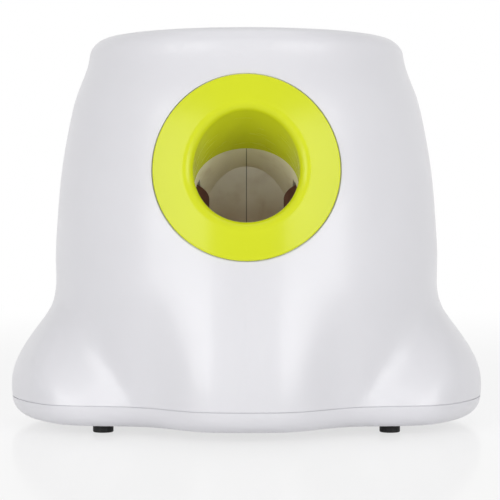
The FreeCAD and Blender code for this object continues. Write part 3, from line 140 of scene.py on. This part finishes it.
def moulded(name, colour, shade_colour, gloss, grain, coat=0.0, **sockets):
    """Moulded plastic: a faint drift of colour and gloss, and a grain too fine to see as dots."""
    material, start, shader = surface(name, Coat_Weight=coat, **sockets)
    drift = start.noise(SOFT_WAVE, 3.0).between(0.35, 0.65)
    speck = start.noise(FINE_GRAIN * 0.4, 1.0)
    skin = start.noise(FINE_GRAIN, 2.0)
    feed(material, shader,
         Base_Color=(drift * 0.6 + speck * 0.2).mixed(colour, shade_colour),
         Roughness=gloss + drift * 0.03 + speck * 0.02,
         Normal=start.bump(skin + start.noise(90, 1.0) * 3, grain))
    return material


def dress(material, *names):
    """Give finished pieces their material."""
    for name in names:
        for slot in NODES[name].material_slots:
            slot.material = material


white_plastic = moulded("glossy_white_shell", WHITE, (0.765, 0.76, 0.795), 0.27, 0.000004, coat=0.08,
                        Coat_Roughness=0.12)
dress(white_plastic, "lower_housing")

# Rubber feet: four round black pads pressed into the base, with a matt moulded skin that picks up
# a little dust where it meets the floor.
RUBBER = (0.012, 0.012, 0.013)
DUST = (0.06, 0.058, 0.055)
foot_rubber, start, shader = surface("black_foot_rubber", Specular_IOR_Level=0.35)
dusty = (1 - start.axis(2).between(0.0, 0.0035)) * start.noise(700, 3.0).between(0.4, 0.7)
feed(foot_rubber, shader, Base_Color=dusty.mixed(RUBBER, DUST), Roughness=0.62 + dusty * 0.2,
     Normal=start.bump(start.noise(2200, 2.0), 0.00003))
dress(foot_rubber, "rubber_feet")

# Battery door: a flat white cover under the base that turns on two pins and snaps shut, with a finger
# groove by its rear edge.
door_plastic = moulded("satin_white_door", WHITE, (0.76, 0.755, 0.785), 0.34, 0.00002)
dress(door_plastic, "battery_door")

# Upper housing: the large lobed shell in the same glossy white plastic. It has a rounded crest around
# the hopper and a shallow rebate in its front where the launch ring lies.
dress(white_plastic, "upper_housing")

# Hopper funnel: a thin white bowl that narrows down into the chute, a little less glossy than the shell
# because its mould is textured.
funnel_plastic = moulded("satin_white_funnel", WHITE, (0.765, 0.76, 0.79), 0.26, 0.000012, coat=0.1,
                         Coat_Roughness=0.2)
dress(funnel_plastic, "hopper_funnel")

# Launch ring: one high-gloss moulding in yellow-green, a wide flange with a rounded lip and the short
# tube through its middle. Use has left faint scuffs inside the tube.
LIME = (0.68, 0.745, 0.014)
LIME_DEEP = (0.64, 0.705, 0.009)
ring_plastic, start, shader = surface("glossy_lime_ring", Specular_IOR_Level=0.3)
drift = start.noise(20, 2.0).between(0.3, 0.7)
inside = start.axis(1).between(-0.098, -0.09)
scuffs = start.noise(60, 4.0, stretch=(1, 8, 1)).between(0.58, 0.75) * inside
feed(ring_plastic, shader, Base_Color=(drift * 0.35).mixed(LIME, LIME_DEEP),
     Roughness=0.2 + drift * 0.02 + scuffs * 0.25,
     Normal=start.bump(start.noise(FINE_GRAIN, 1.0) + start.noise(110, 1.0) * 2, 0.000004))
dress(ring_plastic, "launch_ring")

# Chute halves: two warm grey mouldings that meet on the middle plane, satin inside, where use has polished
# a track along the floor. Painted shade darkens them to brown towards the bottom, and a thin painted dark
# line stands for the shade in the seam on the middle plane.
CHUTE = (0.93, 0.89, 0.72)
chute_plastic, start, shader = surface("warm_grey_chute", Specular_IOR_Level=0.4)
track = 1 - start.axis(0).size().between(0.004, 0.016)
grime = start.noise(70, 4.0).between(0.45, 0.75)
# Painted shade: the chute's colour darkens to brown towards the bottom.
painted_low_shade = 1 - start.axis(2).between(0.112, 0.140)
# Painted shade: a thin dark line on the middle plane stands for the shade in the seam between the halves.
painted_seam_shade = 1 - start.axis(0).size().between(0.00018, 0.00034)
# Random grime mixed with the painted shade towards the bottom.
grime_and_painted_shade_colour = (grime * 0.3 + painted_low_shade * 0.7).mixed(CHUTE, (0.50, 0.36, 0.24))
# The painted seam shade lies over that colour as a dark line.
feed(chute_plastic, shader, Base_Color=(painted_seam_shade * 0.85).mixed(grime_and_painted_shade_colour, (0.10, 0.08, 0.06)),
     Roughness=0.42 - track * 0.1 + grime * 0.1,
     Normal=start.bump(start.noise(1400, 2.0), 0.00002))
dress(chute_plastic, "chute_left", "chute_right")

# Flywheels: moulded dark hubs with red-brown rubber tyres that face each other across the chute. The
# tyres are turned true, which leaves fine rings on them.
tyre_rubber, start, shader = surface("red_brown_tyre_rubber", Specular_IOR_Level=0.3)
worn = start.noise(120, 4.0).between(0.4, 0.7)
feed(tyre_rubber, shader, Base_Color=worn.mixed((0.085, 0.028, 0.02), (0.14, 0.06, 0.045)),
     Roughness=0.6 + worn * 0.2, Normal=start.bump(start.noise(900, 3.0), 0.00006))
dress(tyre_rubber, "flywheel_tyre_left", "flywheel_tyre_right")
hub_plastic = moulded("dark_hub_plastic", (0.05, 0.05, 0.055), (0.035, 0.035, 0.04), 0.4, 0.00003)
dress(hub_plastic, "flywheel_hub_left", "flywheel_hub_right", "motor_cradle_left", "motor_cradle_right")

# Motors: drawn steel cans with a plastic rear cap and a ground shaft, one for each wheel, and a small
# geared one for the feeder.
steel, start, shader = surface("drawn_steel", Metallic=1.0)
lines = start.noise(500, 2.0, stretch=(1, 0.1, 0.1))
feed(steel, shader, Base_Color=lines.mixed((0.58, 0.57, 0.55), (0.70, 0.69, 0.67)),
     Roughness=0.28 + lines * 0.16, Normal=start.bump(lines, 0.00001))
dress(steel, "motor_can_left", "motor_can_right", "motor_shaft_left", "motor_shaft_right", "feeder_motor",
      "feeder_shaft", "feeder_pin", "battery_plates", "dc_jack_nut")
cap_plastic = moulded("black_motor_cap", (0.02, 0.02, 0.02), (0.03, 0.03, 0.03), 0.45, 0.00003)
dress(cap_plastic, "motor_endcap_left", "motor_endcap_right")

# Feeder: a natural nylon arm and its two gears on a dark bracket, with a brass gearbox. The arm swings up
# through the slot in the chute's elbow.
nylon = moulded("natural_nylon", (0.72, 0.70, 0.63), (0.64, 0.61, 0.53), 0.42, 0.00002,
                Subsurface_Weight=0.08, Subsurface_Scale=0.002)
dress(nylon, "feeder_arm", "feeder_gear", "feeder_pinion")
dress(hub_plastic, "feeder_bracket", "battery_box")
brass, start, shader = surface("plain_brass", Metallic=1.0)
tarnish = start.noise(300, 4.0).between(0.4, 0.7)
feed(brass, shader, Base_Color=tarnish.mixed((0.78, 0.60, 0.28), (0.55, 0.40, 0.18)),
     Roughness=0.25 + tarnish * 0.2)
dress(brass, "feeder_gearbox", "dc_jack_pin", "board_spacers")

# Circuit boards: green boards with black components, a buzzer and the two push switches behind the
# control panel, and the two beam sensors on the chute.
board_green, start, shader = surface("green_board", Coat_Weight=0.4, Coat_Roughness=0.15)
traces = start.node("ShaderNodeTexVoronoi", {"distance": "CHEBYCHEV", "feature": "F1"},
                    {"Vector": start.place(), "Scale": 260}).between(0.3, 0.34)
feed(board_green, shader, Base_Color=traces.mixed((0.012, 0.10, 0.035), (0.02, 0.17, 0.06)),
     Roughness=0.35 + traces * 0.1, Normal=start.bump(traces, 0.00003))
dress(board_green, "main_board", "control_board")
dress(cap_plastic, "board_components", "buzzer", "tact_switches", "sensor_emitter", "sensor_receiver")

# Batteries: six C cells in plain printed sleeves with a bright band at the button end. Each is pressed
# against its contact by a short cone of steel wire.
CELL_FOLD = 0.028
sleeve, start, shader = surface("cell_sleeve", Coat_Weight=0.3)
folded = start.node("ShaderNodeMath", {"operation": "PINGPONG"}, {0: start.axis(0), 1: CELL_FOLD})
band = folded.between(0.010, 0.011)
feed(sleeve, shader, Base_Color=band.mixed((0.03, 0.032, 0.036), (0.55, 0.38, 0.16)),
     Roughness=0.3 + start.noise(90, 2.0) * 0.1)
dress(sleeve, "battery_cells")
CELL_STEP = 0.0266
CELL_HEIGHT = 0.0211
WIRE = 0.0004
COIL_WIDE, COIL_TAPER = 0.0044, 0.0014
COIL_TURNS, COIL_POINTS = 3, 48
coils = bpy.data.curves.new("battery_spring_coils", "CURVE")
coils.dimensions = "3D"
coils.bevel_depth = WIRE
coils.bevel_resolution = 3
for cell_end, plate in ((-0.003, -0.0002), (0.053, 0.0554)):
    for row in (-1, 0, 1):
        line = coils.splines.new("NURBS")
        line.points.add(COIL_POINTS)
        for step in range(COIL_POINTS + 1):
            share = step / COIL_POINTS
            reach = COIL_WIDE - COIL_TAPER * share
            angle = math.tau * COIL_TURNS * share
            line.points[step].co = (plate - WIRE + (cell_end + 2 * WIRE - plate) * share,
                                    row * CELL_STEP + reach * math.cos(angle),
                                    CELL_HEIGHT + reach * math.sin(angle), 1)
        line.use_endpoint_u = True
        line.order_u = 4
springs = bpy.data.objects.new("battery_spring_coils", coils)
bpy.context.collection.objects.link(springs)
coils.materials.append(steel)
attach(springs, "housing")
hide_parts("battery_springs")

# Control panel: a grey plate in the rear of the column with a lime power button and a pale grey
# distance button, both moulded caps that slide in its holes.
panel_plastic = moulded("grey_panel", (0.20, 0.205, 0.21), (0.17, 0.175, 0.18), 0.38, 0.00003)
dress(panel_plastic, "control_panel")


def lathed(name, outline, spot, facing, steps=64):
    """A closed solid turned from an outline of radius and height, with its axis along facing."""
    mesh = bpy.data.meshes.new(name)
    form = bmesh.new()
    turn = Vector(facing).to_track_quat("Z", "Y")
    rings = []
    for radius, height in outline:
        angles = [math.tau * step / steps for step in range(steps if radius else 1)]
        rings.append([form.verts.new(Vector(spot) + turn @ Vector((radius * math.cos(angle),
                                                                  radius * math.sin(angle), height)))
                      for angle in angles])
    for low, high in zip(rings, rings[1:]):
        for step in range(steps):
            corners = (low[step % len(low)], low[(step + 1) % len(low)], high[(step + 1) % len(high)],
                       high[step % len(high)])
            form.faces.new(tuple(dict.fromkeys(corners)))
    bmesh.ops.recalc_face_normals(form, faces=form.faces)
    for face in form.faces:
        face.smooth = True
    for edge in form.edges:
        edge.smooth = edge.calc_face_angle(0) < math.radians(35)
    form.to_mesh(mesh)
    form.free()
    piece = bpy.data.objects.new(name, mesh)
    bpy.context.collection.objects.link(piece)
    return piece


RIM_STEP, RIM_THICK = 0.0015, 0.0012
CAP_EDGE, CAP_DISH = 0.0009, 0.0004
MARK_GREY = (0.035, 0.036, 0.04)


def button(node, body, colour, deep, mark):
    """A button cap with a rounded edge, a dished top and a mark printed in its middle."""
    low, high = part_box(node)
    centre = [(low[side] + high[side]) / 2 for side in (0, 2)]
    rim = (high[0] - low[0]) / 2
    reach = rim - RIM_STEP
    tall = high[1] - low[1]
    rounded = [(reach - CAP_EDGE + CAP_EDGE * math.cos(turn), tall - CAP_EDGE + CAP_EDGE * math.sin(turn))
               for turn in [math.radians(step * 15) for step in range(7)]]
    dish = [(reach * share, tall - CAP_DISH * (1 - share ** 2)) for share in (0.8, 0.6, 0.4, 0.2, 0)]
    outline = [(0, 0), (rim, 0), (rim, RIM_THICK), (reach, RIM_THICK), *rounded, *dish]
    cap = lathed(f"{body}_cap", outline, (centre[0], low[1], centre[1]), (0, 1, 0))
    finish, start, shader = surface(f"{body}_plastic", Coat_Weight=0.1, Coat_Roughness=0.1)
    across, up = start.axis(0) - centre[0], start.axis(2) - centre[1]
    print_mask = mark(across, up)
    drift = start.noise(140, 2.0).between(0.3, 0.7)
    skin = start.noise(FINE_GRAIN, 1.0)
    feed(finish, shader,
         Base_Color=print_mask.mixed((drift * 0.4).mixed(colour, deep), MARK_GREY),
         Roughness=0.26 + drift * 0.05 + print_mask * 0.2,
         Normal=start.bump(skin - print_mask * 2, 0.00001))
    cap.data.materials.append(finish)
    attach(cap, body)
    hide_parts(node)


def ring_and_bar(across, up):
    """The usual on and off sign: an open ring with a bar in its gap."""
    squares = across * across + up * up
    reach = squares.node("ShaderNodeMath", {"operation": "SQRT"}, {0: squares})
    ring = reach.between(0.00245, 0.00255) * (1 - reach.between(0.00315, 0.00325))
    gap = (1 - across.size().between(0.0010, 0.0011)) * up.between(0, 0.0001)
    bar = ((1 - across.size().between(0.00032, 0.00038)) * up.between(0.0009, 0.001)
           * (1 - up.between(0.0036, 0.0037)))
    return ring * (1 - gap) + bar


BAR_STEP, BAR_RISE = 0.0022, 0.0014
BAR_TOP = -0.0008


def three_bars(across, up):
    """Three bars that grow to the right, for a nearer or farther throw."""
    marks = []
    for number in range(3):
        beside = (across + BAR_STEP * (number - 1)).size()
        top = BAR_TOP + BAR_RISE * number
        marks.append((1 - beside.between(0.00058, 0.00064)) * up.between(-0.0024, -0.0023)
                     * (1 - up.between(top, top + 0.0001)))
    return marks[0] + marks[1] + marks[2]


button("power_button", "power_key", LIME, LIME_DEEP, ring_and_bar)
button("distance_button", "distance_key", (0.74, 0.74, 0.76), (0.68, 0.68, 0.70), three_bars)

# Indicator lenses: three small rods of clear plastic, frosted and tinted green, that carry the light of
# the lamps on the control board to the face of the panel.
lens, start, shader = surface("frosted_green_lens", Transmission_Weight=0.5, IOR=1.49)
cloudy = start.noise(600, 3.0).between(0.3, 0.7)
feed(lens, shader, Base_Color=cloudy.mixed((0.55, 0.85, 0.6), (0.75, 0.95, 0.78)),
     Roughness=0.2 + cloudy * 0.15)
dress(lens, "indicator_lenses")

# Power inlet: a black round socket with a brass pin, for the plug of a mains adapter. It goes through the
# rear wall and a nut holds it inside.
dress(cap_plastic, "dc_jack")

# Screws: pan heads in zinc-plated steel, dulled in spots, that hold the two shells, the chute, the motors
# and the main board.
zinc, start, shader = surface("zinc_plate", Metallic=1.0)
spots = start.noise(800, 3.0).between(0.4, 0.65)
feed(zinc, shader, Base_Color=spots.mixed((0.62, 0.64, 0.66), (0.48, 0.50, 0.53)),
     Roughness=0.3 + spots * 0.15)
dress(zinc, "housing_screws", "chute_screws", "motor_screws", "board_screws")

# Studio: a pale floor that turns up into a backdrop, two tall soft lamps at the front, one above and
# a weak even sky.
FLOOR_FRONT, BEND_START = -4.0, 1.6
BEND_RADIUS, BEND_STEPS = 0.8, 10
WALL_TOP, HALF_WIDTH = 3.5, 5


def sweep():
    """A floor and wall in one curved sheet."""
    mesh = bpy.data.meshes.new("studio_sweep")
    form = bmesh.new()
    bend = [(FLOOR_FRONT, 0.0), (BEND_START, 0.0)]
    bend += [(BEND_START + BEND_RADIUS * math.sin(turn), BEND_RADIUS - BEND_RADIUS * math.cos(turn))
             for turn in [math.radians(90 * step / BEND_STEPS) for step in range(1, BEND_STEPS + 1)]]
    bend.append((BEND_START + BEND_RADIUS, WALL_TOP))
    rows = [[form.verts.new((side, y, z)) for side in (-HALF_WIDTH, HALF_WIDTH)] for y, z in bend]
    for low, high in zip(rows, rows[1:]):
        form.faces.new((low[0], low[1], high[1], high[0]))
    form.to_mesh(mesh)
    form.free()
    for face in mesh.polygons:
        face.use_smooth = True
    sheet = bpy.data.objects.new("studio_sweep", mesh)
    bpy.context.collection.objects.link(sheet)
    return sheet


def seen_rays(start):
    """1 for what the camera sees straight, in a gloss or through a clear piece, else 0."""
    camera, glossy, through = [start.node("ShaderNodeLightPath", output=number) for number in (0, 3, 6)]
    return camera + glossy + through


# The floor keeps a third of its own light, and so the object's shadow. Farther back it is plain white
paper, start, shader = surface("white_sweep", Roughness=0.12)
feed(paper, shader, Base_Color=start.noise(3, 2.0).mixed((0.92, 0.92, 0.92), (0.95, 0.95, 0.95)))
far = start.axis(1).between(0.3, 1.4)
glow = start.node("ShaderNodeEmission", {}, {"Color": (1, 1, 1, 1), "Strength": 1.0})
plain = Shade(paper, shader.outputs[0])
lit = start.node("ShaderNodeMixShader", {}, {0: seen_rays(start) * (0.66 + far * 0.34), 1: plain, 2: glow})
feed(paper, paper.node_tree.nodes["Material Output"], Surface=lit)
floor = sweep()
floor.data.materials.append(paper)

MIDDLE = (0, 0, 0.12)


def lamp(name, spot, width, height, power):
    """A soft rectangular lamp that faces the middle of the object."""
    light = bpy.data.lights.new(name, "AREA")
    light.shape = "RECTANGLE"
    light.size = width
    light.size_y = height
    light.energy = power
    holder = bpy.data.objects.new(name, light)
    holder.location = spot
    holder.rotation_euler = (Vector(MIDDLE) - Vector(spot)).to_track_quat("-Z", "Y").to_euler()
    bpy.context.collection.objects.link(holder)


lamp("left_softbox", (-0.90, -1.07, 0.42), 1.0, 0.76, 7.3)
lamp("right_softbox", (0.92, -1.07, 0.42), 1.0, 0.76, 7.3)
lamp("top_softbox", (0, 0.1, 1.7), 1.2, 1.2, 3.5)

SKY_LEVEL = 0.34
world = bpy.data.worlds.new("studio_sky")
world.use_nodes = True
sky = world.node_tree.nodes["Background"]
sky.inputs["Color"].default_value = (1, 1, 1, 1)
sky.inputs["Strength"].default_value = SKY_LEVEL
start = Shade(world)
white = start.node("ShaderNodeBackground", {}, {"Color": (1, 1, 1, 1), "Strength": 1.0})
even = start.node("ShaderNodeMixShader", {},
                  {0: seen_rays(start), 1: Shade(world, sky.outputs[0]), 2: white})
feed(world, world.node_tree.nodes["World Output"], Surface=even)
bpy.context.scene.world = world

# Camera: straight in front, level with the lower part of the ring's tube, with a long lens. Its shift puts
# the horizon and the middle of the object where the photograph has them.
CAMERA_BACK = 1.118
CAMERA_HEIGHT = 0.1189
PIXELS = 500
FOCAL_PIXELS = 1894
CENTRE_COLUMN = 246.5
HORIZON_ROW = 219
view = bpy.data.cameras.new("front_camera")
view.sensor_width = 36
view.lens = view.sensor_width * FOCAL_PIXELS / PIXELS
view.shift_x = (PIXELS / 2 - CENTRE_COLUMN) / PIXELS
view.shift_y = (HORIZON_ROW - PIXELS / 2) / PIXELS
camera = bpy.data.objects.new("front_camera", view)
camera.location = (0, -CAMERA_BACK, CAMERA_HEIGHT)
camera.rotation_euler = (math.radians(90), 0, 0)
bpy.context.collection.objects.link(camera)
bpy.context.scene.camera = camera
bpy.context.scene.view_settings.view_transform = "Standard"
